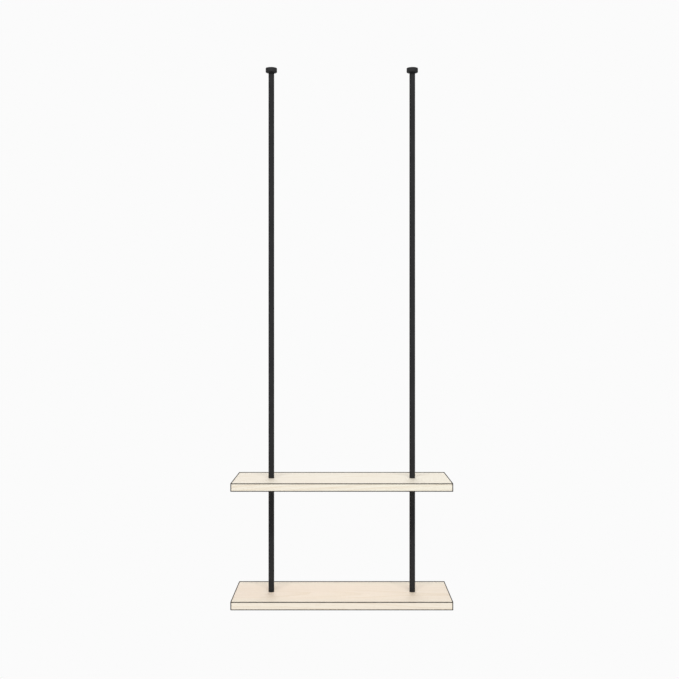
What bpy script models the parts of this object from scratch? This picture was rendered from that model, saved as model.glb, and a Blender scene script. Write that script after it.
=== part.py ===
"""Two-tier shelf that hangs from a ceiling: two wooden boards on a pair of slim steel tubes.

Metres, +Z up. The origin lies on the ceiling plane, midway between the two tubes, and the boards'
long front edges face -Y. Each rod is a stack that is drawn together by threads inside it:

    ceiling flange      slipped over the tube's top end and pressed against the ceiling
    upper tube          a shouldered, tapped plug in each end; the top one takes the ceiling's bolt
    upper shelf         clamped between two plug shoulders by a stud that passes through it
    lower tube          a shouldered, tapped plug in each end
    lower shelf         clamped against a plug shoulder by a washer and a bolt from below
"""

import math

import bmesh
import bpy

# Driving dimensions, in metres
BOARD_LENGTH = 0.600
BOARD_DEPTH = 0.250
BOARD_THICKNESS = 0.020
BOARD_EDGE_RADIUS = 0.0012
BOARD_HOLE_CHAMFER = 0.0005

TUBE_INSET = 0.1015
TUBE_DIAMETER = 0.016
TUBE_WALL = 0.0012
UPPER_TUBE_LENGTH = 1.140
LOWER_TUBE_LENGTH = 0.295

FLANGE_DIAMETER = 0.032
FLANGE_HEIGHT = 0.012
FLANGE_LOWER_RADIUS = 0.002
FLANGE_TOP_CHAMFER = 0.0004
FLANGE_SOCKET_DEPTH = 0.003
FLANGE_RELIEF_DIAMETER = 0.018
FLANGE_RELIEF_DEPTH = 0.0015

THREAD_DIAMETER = 0.008
THREAD_END_CHAMFER = 0.001
PLUG_LENGTH = 0.020
PLUG_SHOULDER = 0.002
PLUG_SHOULDER_CHAMFER = 0.0003
PLUG_MOUTH_CHAMFER = 0.0008
THREAD_ENGAGEMENT = 0.016

WASHER_DIAMETER = 0.024
WASHER_THICKNESS = 0.002
WASHER_EDGE_CHAMFER = 0.0003

BOLT_HEAD_DIAMETER = 0.017
BOLT_HEAD_THICKNESS = 0.0025
BOLT_HEAD_EDGE_RADIUS = 0.0008
HEX_KEY_ACROSS_FLATS = 0.005
HEX_SOCKET_DEPTH = 0.004

# Clearances: round pieces that slip into each other, threads that pass through a drilled hole
# with play for adjustment, and faces that seat
FIT_CLEARANCE = 0.0003
DRILLED_CLEARANCE = 0.0005
SEAT_GAP = 0.0003

# How far a cutter reaches past the face that it opens
CUTTER_OVERRUN = 0.002

# Facets round a piece that shows, and round one that is hidden
SHOWN_SIDES = 40
HIDDEN_SIDES = 24
ARC_STEPS = 4
EDGE_STEPS = 3
HEX_SIDES = 6

# Sizes that follow from those above
TUBE_RADIUS = TUBE_DIAMETER / 2
TUBE_BORE_RADIUS = TUBE_RADIUS - TUBE_WALL
PLUG_RADIUS = TUBE_BORE_RADIUS - FIT_CLEARANCE
THREAD_RADIUS = THREAD_DIAMETER / 2
THREAD_HOLE_RADIUS = THREAD_RADIUS + FIT_CLEARANCE
DRILLED_HOLE_RADIUS = THREAD_RADIUS + DRILLED_CLEARANCE
STUD_LENGTH = BOARD_THICKNESS + 2 * SEAT_GAP + 2 * THREAD_ENGAGEMENT
SHANK_LENGTH = WASHER_THICKNESS + BOARD_THICKNESS + 3 * SEAT_GAP + THREAD_ENGAGEMENT

# Heights of the stack, from the ceiling down. A rod is a tube with a plug's shoulder at each end.
UPPER_ROD_TOP = FLANGE_SOCKET_DEPTH - FLANGE_HEIGHT - SEAT_GAP
UPPER_TUBE_TOP = UPPER_ROD_TOP - PLUG_SHOULDER - SEAT_GAP
UPPER_ROD_FOOT = UPPER_TUBE_TOP - UPPER_TUBE_LENGTH - SEAT_GAP - PLUG_SHOULDER
UPPER_BOARD_TOP = UPPER_ROD_FOOT - SEAT_GAP
LOWER_ROD_TOP = UPPER_BOARD_TOP - BOARD_THICKNESS - SEAT_GAP
LOWER_TUBE_TOP = LOWER_ROD_TOP - PLUG_SHOULDER - SEAT_GAP
LOWER_ROD_FOOT = LOWER_TUBE_TOP - LOWER_TUBE_LENGTH - SEAT_GAP - PLUG_SHOULDER
LOWER_BOARD_TOP = LOWER_ROD_FOOT - SEAT_GAP
WASHER_TOP = LOWER_BOARD_TOP - BOARD_THICKNESS - SEAT_GAP
BOLT_HEAD_TOP = WASHER_TOP - WASHER_THICKNESS - SEAT_GAP

# Where each rod stands along X, set in from the boards' ends
ROD_REACH = BOARD_LENGTH / 2 - TUBE_INSET
ROD_PLACES = {"left": -ROD_REACH, "right": ROD_REACH}

# Finishes: name, linear colour, roughness, metallic
WOOD_FINISH = ("pale_lacquered_wood", (0.87, 0.80, 0.69), 0.45, 0.0)
BLACK_FINISH = ("black_powder_coat", (0.025, 0.026, 0.027), 0.55, 0.0)
ZINC_FINISH = ("zinc_plated_steel", (0.62, 0.63, 0.64), 0.35, 1.0)

SMOOTH_ANGLE = math.radians(30)
WELD_DISTANCE = 1e-6


def clear_scene():
    """Removes whatever the scene starts with."""
    for obj in list(bpy.data.objects):
        bpy.data.objects.remove(obj, do_unlink=True)


def finish(name, colour, roughness, metallic):
    """A plain surface: linear colour, roughness and metallic value."""
    material = bpy.data.materials.new(name)
    material.use_nodes = True
    shader = material.node_tree.nodes["Principled BSDF"]
    shader.inputs["Base Color"].default_value = (*colour, 1.0)
    shader.inputs["Roughness"].default_value = roughness
    shader.inputs["Metallic"].default_value = metallic
    return material


def lower_rim(rim, foot, radius):
    """Profile points, from the side down to the underside, that round off a disc's lower rim."""
    quarter = [math.pi / 2 * step / ARC_STEPS for step in range(ARC_STEPS + 1)]
    return [
        (rim - radius + radius * math.cos(turn), foot + radius - radius * math.sin(turn))
        for turn in quarter
    ]


def mesh_from(name, shape, smooth=True):
    """Puts a finished bmesh shape into a mesh, smooth on round stretches and sharp at edges."""
    mesh = bpy.data.meshes.new(name)
    shape.to_mesh(mesh)
    shape.free()
    if smooth:
        mesh.shade_smooth()
        mesh.set_sharp_from_angle(angle=SMOOTH_ANGLE)
    return mesh


def turned(name, profile, sides, closed=True):
    """Spins a (radius, height) profile about Z. A profile that ends on the axis is left open there."""
    shape = bmesh.new()
    points = [shape.verts.new((radius, 0, height)) for radius, height in profile]
    followers = points[1:] + points[:1] if closed else points[1:]
    edges = [shape.edges.new(pair) for pair in zip(points, followers)]
    bmesh.ops.spin(
        shape,
        geom=points + edges,
        axis=(0, 0, 1),
        cent=(0, 0, 0),
        angle=math.tau,
        steps=sides,
    )
    bmesh.ops.remove_doubles(shape, verts=shape.verts, dist=WELD_DISTANCE)
    bmesh.ops.recalc_face_normals(shape, faces=shape.faces)
    return mesh_from(name, shape)


def place(name, mesh, parent, at, material, upturned=False):
    """Adds a piece at a place in the frame of the empty that carries it, turned upside down if asked."""
    piece = bpy.data.objects.new(name, mesh)
    bpy.context.scene.collection.objects.link(piece)
    piece.parent = parent
    piece.location = at
    if upturned:
        piece.rotation_euler.x = math.pi
    if not mesh.materials:
        mesh.materials.append(material)
    return piece


def empty(name, parent, at):
    """Adds an empty, which carries pieces and has no shape."""
    marker = bpy.data.objects.new(name, None)
    bpy.context.scene.collection.objects.link(marker)
    marker.parent = parent
    marker.location = at
    return marker


def cut(piece, name, mesh, at):
    """Takes a cutter's shape out of a piece. The cutter hangs on the piece's parent."""
    cutter = bpy.data.objects.new(name, mesh)
    bpy.context.scene.collection.objects.link(cutter)
    cutter.parent = piece.parent
    cutter.location = at
    cutter.hide_render = True
    cutter.display_type = "WIRE"
    boolean = piece.modifiers.new(name, "BOOLEAN")
    boolean.operation = "DIFFERENCE"
    boolean.solver = "EXACT"
    boolean.object = cutter


def board_mesh():
    """A plain plank about its own centre, with every edge eased by a small radius."""
    shape = bmesh.new()
    bmesh.ops.create_cube(shape, size=1)
    bmesh.ops.scale(shape, vec=(BOARD_LENGTH, BOARD_DEPTH, BOARD_THICKNESS), verts=shape.verts)
    bmesh.ops.bevel(
        shape,
        geom=shape.edges,
        offset=BOARD_EDGE_RADIUS,
        segments=EDGE_STEPS,
        profile=0.5,
        affect="EDGES",
    )
    return mesh_from("shelf_board", shape)


def board_hole_mesh():
    """Cutter for a hole through a board: a bore that flares to 45 degrees at both faces."""
    bore = DRILLED_HOLE_RADIUS
    flare_start = BOARD_THICKNESS / 2 - BOARD_HOLE_CHAMFER
    reach = BOARD_THICKNESS / 2 + CUTTER_OVERRUN
    mouth = bore + reach - flare_start
    profile = [
        (0, reach),
        (mouth, reach),
        (bore, flare_start),
        (bore, -flare_start),
        (mouth, -reach),
        (0, -reach),
    ]
    return turned("board_hole", profile, SHOWN_SIDES, closed=False)


def flange_mesh():
    """Turned disc under the ceiling plane: bolt hole and anchor relief above, tube socket below."""
    rim = FLANGE_DIAMETER / 2
    relief = FLANGE_RELIEF_DIAMETER / 2
    socket = TUBE_RADIUS + FIT_CLEARANCE
    socket_floor = FLANGE_SOCKET_DEPTH - FLANGE_HEIGHT
    profile = [
        (DRILLED_HOLE_RADIUS, -FLANGE_RELIEF_DEPTH),
        (relief, -FLANGE_RELIEF_DEPTH),
        (relief, 0),
        (rim - FLANGE_TOP_CHAMFER, 0),
        (rim, -FLANGE_TOP_CHAMFER),
        *lower_rim(rim, -FLANGE_HEIGHT, FLANGE_LOWER_RADIUS),
        (socket, -FLANGE_HEIGHT),
        (socket, socket_floor),
        (DRILLED_HOLE_RADIUS, socket_floor),
    ]
    return turned("ceiling_flange", profile, SHOWN_SIDES)


def tube_mesh(name, length):
    """Tube that hangs from its top end, cut square at both ends."""
    profile = [
        (TUBE_BORE_RADIUS, 0),
        (TUBE_RADIUS, 0),
        (TUBE_RADIUS, -length),
        (TUBE_BORE_RADIUS, -length),
    ]
    return turned(name, profile, SHOWN_SIDES)


def plug_mesh():
    """Tapped plug below its end face: a shoulder as wide as the tube, then the part inside the tube."""
    chamfer = min(PLUG_MOUTH_CHAMFER, (PLUG_RADIUS - THREAD_HOLE_RADIUS) / 2)
    inner_end = -PLUG_SHOULDER - PLUG_LENGTH
    profile = [
        (THREAD_HOLE_RADIUS + chamfer, 0),
        (TUBE_RADIUS - PLUG_SHOULDER_CHAMFER, 0),
        (TUBE_RADIUS, -PLUG_SHOULDER_CHAMFER),
        (TUBE_RADIUS, -PLUG_SHOULDER),
        (PLUG_RADIUS, -PLUG_SHOULDER),
        (PLUG_RADIUS, inner_end),
        (THREAD_HOLE_RADIUS, inner_end),
        (THREAD_HOLE_RADIUS, -chamfer),
    ]
    return turned("tapped_plug", profile, SHOWN_SIDES)


def stud_mesh():
    """Threaded stud that hangs from its top end, pointed by a chamfer at both ends."""
    tip = THREAD_RADIUS - THREAD_END_CHAMFER
    profile = [
        (0, 0),
        (tip, 0),
        (THREAD_RADIUS, -THREAD_END_CHAMFER),
        (THREAD_RADIUS, THREAD_END_CHAMFER - STUD_LENGTH),
        (tip, -STUD_LENGTH),
        (0, -STUD_LENGTH),
    ]
    return turned("shelf_stud", profile, HIDDEN_SIDES, closed=False)


def washer_mesh():
    """Wide flat washer below its top face, with softened rims."""
    rim = WASHER_DIAMETER / 2
    profile = [
        (THREAD_HOLE_RADIUS, 0),
        (rim - WASHER_EDGE_CHAMFER, 0),
        (rim, -WASHER_EDGE_CHAMFER),
        (rim, WASHER_EDGE_CHAMFER - WASHER_THICKNESS),
        (rim - WASHER_EDGE_CHAMFER, -WASHER_THICKNESS),
        (THREAD_HOLE_RADIUS, -WASHER_THICKNESS),
    ]
    return turned("shelf_washer", profile, SHOWN_SIDES)


def bolt_mesh():
    """Bolt with a flat round head. Its zero height is the face of the head that seats."""
    rim = BOLT_HEAD_DIAMETER / 2
    tip = THREAD_RADIUS - THREAD_END_CHAMFER
    profile = [
        (0, SHANK_LENGTH),
        (tip, SHANK_LENGTH),
        (THREAD_RADIUS, SHANK_LENGTH - THREAD_END_CHAMFER),
        (THREAD_RADIUS, 0),
        (rim, 0),
        *lower_rim(rim, -BOLT_HEAD_THICKNESS, BOLT_HEAD_EDGE_RADIUS),
        (0, -BOLT_HEAD_THICKNESS),
    ]
    return turned("shelf_bolt", profile, SHOWN_SIDES, closed=False)


def hex_socket_mesh():
    """Cutter for a hexagon socket, about the level of the bolt head's lower face."""
    shape = bmesh.new()
    corner = HEX_KEY_ACROSS_FLATS / math.sqrt(3)
    bmesh.ops.create_cone(
        shape,
        cap_ends=True,
        segments=HEX_SIDES,
        radius1=corner,
        radius2=corner,
        depth=HEX_SOCKET_DEPTH + CUTTER_OVERRUN,
    )
    bmesh.ops.translate(shape, vec=(0, 0, (HEX_SOCKET_DEPTH - CUTTER_OVERRUN) / 2), verts=shape.verts)
    return mesh_from("hex_socket", shape, smooth=False)


def add_boards(ceiling, wood):
    """The two shelves, each with a hole for each rod."""
    plank = board_mesh()
    hole = board_hole_mesh()
    for level, top in {"upper": UPPER_BOARD_TOP, "lower": LOWER_BOARD_TOP}.items():
        middle = top - BOARD_THICKNESS / 2
        board = place(f"{level}_shelf", plank, ceiling, (0, 0, middle), wood)
        for side, across in ROD_PLACES.items():
            cut(board, f"{level}_shelf_{side}_hole", hole, (across, 0, middle))


def add_rods(ceiling, black, zinc):
    """The left and right rod, each hung on an empty on its axis at the ceiling."""
    upper_tube = tube_mesh("upper_tube", UPPER_TUBE_LENGTH)
    lower_tube = tube_mesh("lower_tube", LOWER_TUBE_LENGTH)
    plug = plug_mesh()
    stack = [
        ("ceiling_flange", flange_mesh(), 0, black),
        ("upper_tube_top_plug", plug, UPPER_ROD_TOP, black),
        ("upper_tube", upper_tube, UPPER_TUBE_TOP, black),
        ("upper_tube_bottom_plug", plug, UPPER_ROD_FOOT, black),
        ("shelf_stud", stud_mesh(), UPPER_ROD_FOOT + THREAD_ENGAGEMENT, zinc),
        ("lower_tube_top_plug", plug, LOWER_ROD_TOP, black),
        ("lower_tube", lower_tube, LOWER_TUBE_TOP, black),
        ("lower_tube_bottom_plug", plug, LOWER_ROD_FOOT, black),
        ("shelf_washer", washer_mesh(), WASHER_TOP, black),
        ("shelf_bolt", bolt_mesh(), BOLT_HEAD_TOP, black),
    ]
    socket = hex_socket_mesh()
    for side, across in ROD_PLACES.items():
        rod = empty(f"{side}_rod", ceiling, (across, 0, 0))
        pieces = {}
        for name, mesh, height, material in stack:
            upturned = name.endswith("bottom_plug")
            pieces[name] = place(f"{side}_{name}", mesh, rod, (0, 0, height), material, upturned)
        cut(pieces["shelf_bolt"], f"{side}_hex_socket", socket, (0, 0, BOLT_HEAD_TOP - BOLT_HEAD_THICKNESS))


def main():
    clear_scene()
    ceiling = empty("ceiling_plane", None, (0, 0, 0))
    add_boards(ceiling, finish(*WOOD_FINISH))
    add_rods(ceiling, finish(*BLACK_FINISH), finish(*ZINC_FINISH))


main()
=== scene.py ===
"""Looks of a ceiling hanging shelf: two pale boards clamped on a pair of slim black rods.

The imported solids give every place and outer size. Each is replaced by a finer surface in the same
place, with its eased edges, its threads and a finish of its own. Metres, +Z up, the origin on the
ceiling plane midway between the rods, the front of the shelf towards -Y.
"""

import logging
import math
from collections.abc import Callable
from dataclasses import dataclass, field
from enum import Enum
from typing import Any, TypeAlias

import bmesh
import bpy
import numpy as np
from numpy.typing import NDArray
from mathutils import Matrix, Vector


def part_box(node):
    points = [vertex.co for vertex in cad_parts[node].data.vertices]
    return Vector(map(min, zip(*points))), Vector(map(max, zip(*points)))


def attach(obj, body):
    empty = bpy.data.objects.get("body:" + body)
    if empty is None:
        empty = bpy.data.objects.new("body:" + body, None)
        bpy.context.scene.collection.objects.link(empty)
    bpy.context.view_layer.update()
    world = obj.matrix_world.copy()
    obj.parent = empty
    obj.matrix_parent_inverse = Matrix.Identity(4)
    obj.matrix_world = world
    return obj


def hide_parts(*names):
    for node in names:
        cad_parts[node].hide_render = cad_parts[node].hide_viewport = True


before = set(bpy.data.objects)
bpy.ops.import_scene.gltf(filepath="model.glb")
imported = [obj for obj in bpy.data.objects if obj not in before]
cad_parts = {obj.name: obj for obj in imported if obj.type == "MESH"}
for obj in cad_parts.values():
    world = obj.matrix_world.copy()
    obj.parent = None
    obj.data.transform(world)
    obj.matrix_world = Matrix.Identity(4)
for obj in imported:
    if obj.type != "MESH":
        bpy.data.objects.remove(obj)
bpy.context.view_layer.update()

Array: TypeAlias = NDArray[np.float64]
Pair: TypeAlias = tuple[float, float]
Triple: TypeAlias = tuple[float, float, float]
Colour: TypeAlias = tuple[float, float, float]
Number: TypeAlias = "Wire | float"
Operator: TypeAlias = "Callable[[Wire, Number], Wire]"

LOG = logging.getLogger("ceiling_shelf")
BODY = "root"
PHOTO_WIDTH = 679
# Name of the map that every piece carries.
MAP_NAME = "OFBake"
MAP_INSET = 0.004
WELD_DISTANCE = 1e-6
SHARP_ANGLE = math.radians(40)
ARC_STEPS = 5
NOISE_MEAN = 0.5
# The Mix node's colour sockets go by number, because its other kinds use the same names.
MIX_COLOURS = (6, 7)
MIX_RESULT = 2


class Side(Enum):
    """The two rods, as seen from the front."""

    LEFT = "left"
    RIGHT = "right"


class Level(Enum):
    """The two boards, and the tubes that end on them."""

    UPPER = "upper"
    LOWER = "lower"


class Slot(Enum):
    """The record's material slots."""

    WOOD = "board_wood"
    BLACK = "black_steel"
    ZINC = "zinc_steel"


def screen(red: int, green: int, blue: int) -> Colour:
    """A colour as a screen shows it, made linear.

    This is the standard curve of screens: a straight foot, then a power of an offset value.

    Args:
        red: Red from 0 to 255, and the other two likewise.
        green: Green.
        blue: Blue.

    Returns:
        The three linear values, from 0 to 1.
    """
    shown = np.array([red, green, blue]) / 255
    linear = np.where(shown <= 0.04045, shown / 12.92, ((shown + 0.055) / 1.055) ** 2.4)
    return tuple(float(value) for value in linear)


def opaque(colour: Colour) -> tuple[float, float, float, float]:
    """A colour with full cover, as sockets take it."""
    return (*colour, 1.0)


def operator_pair(operation: str) -> "tuple[Operator, Operator]":
    """Makes a wire's operator and the reflected form of it.

    Args:
        operation: What the Math node does.

    Returns:
        The method that takes the wire first, and the one that takes it second.
    """

    def forward(wire: "Wire", other: Number) -> "Wire":
        """Adds a Math node on the wire and the other value."""
        return wire.maths(operation, wire, other)

    def reflected(wire: "Wire", other: Number) -> "Wire":
        """Adds a Math node on the other value and the wire."""
        return wire.maths(operation, other, wire)

    return forward, reflected


class Wire:
    """A shader socket that takes part in Python arithmetic, so that 1 - mask adds a Math node."""

    def __init__(self, tree: "Tree", socket: bpy.types.NodeSocket) -> None:
        """Wraps an output socket of a tree."""
        self.tree = tree
        self.socket = socket

    __add__, __radd__ = operator_pair("ADD")
    __sub__, __rsub__ = operator_pair("SUBTRACT")
    __mul__, __rmul__ = operator_pair("MULTIPLY")
    __truediv__, __rtruediv__ = operator_pair("DIVIDE")
    __pow__, __rpow__ = operator_pair("POWER")
    __mod__, __rmod__ = operator_pair("FLOORED_MODULO")

    def __abs__(self) -> "Wire":
        """Size without sign."""
        return self.maths("ABSOLUTE", self)

    def maths(self, operation: str, first: Number, second: Number = 0.0) -> "Wire":
        """Adds a Math node on two values."""
        return self.tree.node("Math", {"operation": operation}, {0: first, 1: second})

    def hypot(self, other: "Wire") -> "Wire":
        """Long side of a right triangle on two lengths."""
        return (self ** 2.0 + other ** 2.0) ** 0.5

    def waves(self, step: float) -> "Wire":
        """Even waves from 0 to 1, one to each step."""
        return self.maths("SINE", self * (math.tau / step)) * 0.5 + 0.5

    def rise(self, low: float, high: float) -> "Wire":
        """A soft step.

        Args:
            low: Value at which the step starts from 0.
            high: Value at which it has come to 1.

        Returns:
            The step, from 0 to 1.
        """
        settings = {"interpolation_type": "SMOOTHSTEP"}
        return self.tree.node("MapRange", settings, {"Value": self, "From Min": low, "From Max": high})


@dataclass(frozen=True)
class Noise:
    """A soft noise in a finish, from 0 to 1, and what it does there.

    Attributes:
        per_metre: How many bumps it has in a metre along each axis.
        detail: How many finer layers are added.
        rims: Values at which its patches start and are full.
        tint: Its share in the colour.
        rough: What it adds to the roughness.
        relief: What it adds to the height of the bump.
    """

    per_metre: Triple
    detail: float = 2.0
    rims: Pair = (0.0, 1.0)
    tint: float = 0.0
    rough: float = 0.0
    relief: float = 0.0


class Tree:
    """The node tree of a material or of the world, which finishes are written into."""

    def __init__(self, nodes: bpy.types.NodeTree) -> None:
        """Wraps a node tree."""
        self.nodes = nodes

    def feed(self, socket: bpy.types.NodeSocket, value: Any) -> None:
        """Links a wire to an input, or sets a plain value on it.

        Args:
            socket: The input.
            value: A wire, or whatever number, colour or vector the input takes.
        """
        if isinstance(value, Wire):
            self.nodes.links.new(value.socket, socket)
        else:
            socket.default_value = value

    def node(
        self,
        kind: str,
        settings: dict[str, Any] | None = None,
        sockets: dict[str | int, Any] | None = None,
        output: str | int = 0,
    ) -> Wire:
        """Adds a node.

        Args:
            kind: The node's type, without its ShaderNode prefix.
            settings: The node's own settings, which are set first.
            sockets: Values or wires for its inputs, by name or number.
            output: The output to use, by name or number.

        Returns:
            The output as a wire.
        """
        made = self.nodes.nodes.new("ShaderNode" + kind)
        for name, value in (settings or {}).items():
            setattr(made, name, value)
        for key, value in (sockets or {}).items():
            self.feed(made.inputs[key], value)
        return Wire(self, made.outputs[output])

    def place(self) -> Wire:
        """The point's own place on the piece, in metres."""
        return self.node("TexCoord", output="Object")

    def part(self, vector: Wire, letter: str) -> Wire:
        """One of a vector's three numbers, by its letter."""
        return self.node("SeparateXYZ", sockets={0: vector}, output=letter)

    def noise(self, place: Wire, kind: Noise) -> Wire:
        """A noise at a place: its pattern is stretched by multiplying the place."""
        scaled = self.node("VectorMath", {"operation": "MULTIPLY"}, {0: place, 1: kind.per_metre})
        return self.node("TexNoise", sockets={"Vector": scaled, "Scale": 1.0, "Detail": kind.detail})

    def blend(self, share: Number, first: Colour | Wire, second: Colour | Wire) -> Wire:
        """Goes from one colour to another.

        Args:
            share: How much of the second shows, from 0 to 1.
            first: A colour or a wire.
            second: A colour or a wire.

        Returns:
            The blended colour.
        """
        ends = [value if isinstance(value, Wire) else opaque(value) for value in (first, second)]
        sockets = {0: share, **dict(zip(MIX_COLOURS, ends))}
        return self.node("Mix", {"data_type": "RGBA"}, sockets, MIX_RESULT)


class Coat(Tree):
    """A new material and the sockets of its surface shader."""

    def __init__(self, name: str) -> None:
        """Makes the material, with a plain surface.

        Args:
            name: The material's name.
        """
        self.material = bpy.data.materials.new(name)
        self.material.use_nodes = True
        super().__init__(self.material.node_tree)
        self.surface = self.nodes.nodes["Principled BSDF"]

    def set(self, **inputs: "Number | Colour") -> None:
        """Sets inputs of the surface.

        Args:
            **inputs: What each takes, by its name with underscores for the spaces.
        """
        for name, value in inputs.items():
            plain = opaque(value) if isinstance(value, tuple) else value
            self.feed(self.surface.inputs[name.replace("_", " ")], plain)

    def bump(self, height: Wire, metres: float, strength: float) -> None:
        """Raises the surface.

        Args:
            height: Height from 0 to 1.
            metres: What a height of 1 stands for.
            strength: Share of the effect.
        """
        sockets = {"Height": height, "Distance": metres, "Strength": strength}
        self.feed(self.surface.inputs["Normal"], self.node("Bump", sockets=sockets))


@dataclass(frozen=True)
class BoardWood:
    """Pale close-grained wood under a satin lacquer, sawn so that its rings run along the board.

    Fields that end in rims, tint, rough or relief mean what they mean for a noise.

    Attributes:
        plank: Name of the board that is cut from it.
        corner: X, Y and Z of the board's right upper back corner.
        heart_pink_and_shade: How pink and dark its heart is, from 0 to 1: partly the plank's own tone,
            partly painted shade, most of it on the lower board.
        pith: Y and Z of the log's middle line, from the board's upper face.
        climb: How far that line rises for each metre along X.
        ring_gap: Thickness of a ring.
        sway_reach: How far the rings stray in long waves; ripple_reach is that of the short ones.
        late_rims: Where late wood starts in a ring; late_stop_rims is where it ends.
        late_least: Strength of the faintest late wood.
        late_tints: How late wood shows by itself, and what fibres and the ends add to it.
        sap_width: How far the paler sapwood reaches in from the long edges.
        end_skin: How far in from the ends their grain starts, and where it is full.
        relief: Height of the bump; relief_share is how much of it is used.
    """

    plank: str
    corner: Triple
    heart_pink_and_shade: float
    pith: Pair
    climb: float
    cream: Colour = screen(238, 232, 216)
    # Darker pink tone: partly the wood's own colour, partly painted shade.
    blush_and_shade: Colour = screen(235, 220, 204)
    late_wood: Colour = screen(222, 205, 180)
    pore: Colour = screen(196, 174, 146)
    end_grain: Colour = screen(228, 214, 192)
    ring_gap: float = 0.0065
    sway: Noise = Noise((1.3, 6.0, 6.0))
    sway_reach: float = 0.030
    ripple: Noise = Noise((9.0, 45.0, 45.0))
    ripple_reach: float = 0.0035
    late_rims: Pair = (0.30, 0.93)
    late_stop_rims: Pair = (0.95, 1.0)
    late_least: float = 0.3
    late_tints: Triple = (0.2, 0.5, 0.3)
    late_rough: float = 0.05
    late_relief: float = 0.2
    fibres: Noise = Noise((5.0, 420.0, 420.0), 4.0, (0.5, 0.8), tint=0.28, rough=0.10, relief=0.6)
    pores: Noise = Noise((48.0, 1700.0, 1700.0), 1.0, (0.62, 0.72), tint=0.32, relief=-0.5)
    clouds: Noise = Noise((1.6, 7.0, 7.0), rims=(0.3, 0.7), tint=0.3)
    sap_width: float = 0.060
    sap_tint: float = 0.6
    end_skin: Pair = (0.0010, 0.0004)
    end_tint: float = 0.75
    end_pore_tint: float = 0.25
    end_rough: float = 0.12
    roughness: float = 0.44
    specular: float = 0.3
    relief: float = 0.0002
    relief_share: float = 0.25

    def material(self) -> bpy.types.Material:
        """Writes the wood's nodes.

        Rings are shells round the pith line: their number is the distance from that line over the
        ring gap, swayed by noise. Each ends in a narrow band of late wood, whose strength is drawn by
        the ring's number. Fibres and pores are noise drawn out along X.

        Returns:
            The material.
        """
        coat = Coat(f"pale_lacquered_wood_{self.plank}")
        place = coat.place()
        along, across, up = (coat.part(place, letter) for letter in "XYZ")
        end_x, side_y, top_z = self.corner
        pith_y, pith_z = self.pith
        off = (across - pith_y).hypot(up - (top_z + pith_z) - self.climb * along)
        sway = coat.noise(place, self.sway) - NOISE_MEAN
        ripple = coat.noise(place, self.ripple) - NOISE_MEAN
        age = (off + self.sway_reach * sway + self.ripple_reach * ripple) / self.ring_gap
        season = age % 1.0
        vigour = coat.node("TexWhiteNoise", {"noise_dimensions": "1D"}, {"W": age - season})
        late = season.rise(*self.late_rims) * (1.0 - season.rise(*self.late_stop_rims))
        late = late * (self.late_least + (1.0 - self.late_least) * vigour)
        fibre = coat.noise(place, self.fibres)
        pores = coat.noise(place, self.pores).rise(*self.pores.rims)
        cloud = coat.noise(place, self.clouds).rise(*self.clouds.rims) - NOISE_MEAN
        sap = abs(across).rise(side_y - self.sap_width, side_y)
        end = abs(along).rise(end_x - self.end_skin[0], end_x - self.end_skin[1])

        # Pink and darker tone: partly the plank's own colour, and on the lower board mostly painted shade
        # under the upper board. The sapwood mask keeps it off the front and back faces.
        pink = (1.0 - self.sap_tint * sap) * self.heart_pink_and_shade + self.clouds.tint * cloud
        tone = coat.blend(pink, self.cream, self.blush_and_shade)
        tone = coat.blend(self.end_tint * end, tone, self.end_grain)
        by_itself, by_fibre, by_end = self.late_tints
        tone = coat.blend(late * (by_itself + by_fibre * fibre + by_end * end), tone, self.late_wood)
        tone = coat.blend(fibre.rise(*self.fibres.rims) * self.fibres.tint, tone, self.late_wood)
        tone = coat.blend(pores * (self.pores.tint + self.end_pore_tint * end), tone, self.pore)
        rough = self.roughness + self.fibres.rough * fibre + self.late_rough * late + self.end_rough * end
        coat.set(Base_Color=tone, Roughness=rough, Specular_IOR_Level=self.specular)
        height = fibre * self.fibres.relief + pores * self.pores.relief + late * self.late_relief
        coat.bump(height, self.relief, self.relief_share)
        return coat.material


@dataclass(frozen=True)
class EdgeLine:
    """Fine dark line that runs along every edge of a board."""

    ink: Colour = screen(24, 21, 18)
    worn: Colour = screen(44, 39, 34)
    rub: Noise = Noise((160.0,) * 3, 3.0, (0.4, 0.75), rough=0.2)
    roughness: float = 0.6
    specular: float = 0.1

    def material(self) -> bpy.types.Material:
        """Writes the line's nodes: a dark tone that rubs a little lighter in places.

        Returns:
            The material.
        """
        coat = Coat("dark_edge_line")
        rubbed = coat.noise(coat.place(), self.rub)
        coat.set(
            Base_Color=coat.blend(rubbed.rise(*self.rub.rims), self.ink, self.worn),
            Roughness=self.roughness + self.rub.rough * rubbed,
            Specular_IOR_Level=self.specular,
        )
        return coat.material


@dataclass(frozen=True)
class PowderCoat:
    """Matt black powder coat with a fine orange peel."""

    name: str
    black: Colour
    grey: Colour
    peel: Noise = Noise((620.0,) * 3, rough=0.14, relief=0.5)
    grain: Noise = Noise((2100.0,) * 3, 1.0, tint=0.5, relief=0.5)
    clouds: Noise = Noise((22.0,) * 3, tint=0.5, rough=0.10)
    grey_rims: Pair = (0.35, 0.65)
    roughness: float = 0.56
    specular: float = 0.10
    relief: float = 0.00020
    relief_share: float = 0.6

    def material(self) -> bpy.types.Material:
        """Writes the coat's nodes: two sizes of soft bumps, and a sheen that varies with them.

        Returns:
            The material.
        """
        coat = Coat(self.name)
        place = coat.place()
        peel = coat.noise(place, self.peel)
        grain = coat.noise(place, self.grain)
        cloud = coat.noise(place, self.clouds)
        pale = grain * self.grain.tint + cloud * self.clouds.tint
        coat.set(
            Base_Color=coat.blend(pale.rise(*self.grey_rims), self.black, self.grey),
            Roughness=self.roughness + self.peel.rough * peel + self.clouds.rough * cloud,
            Specular_IOR_Level=self.specular,
        )
        coat.bump(peel * self.peel.relief + grain * self.grain.relief, self.relief, self.relief_share)
        return coat.material


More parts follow.
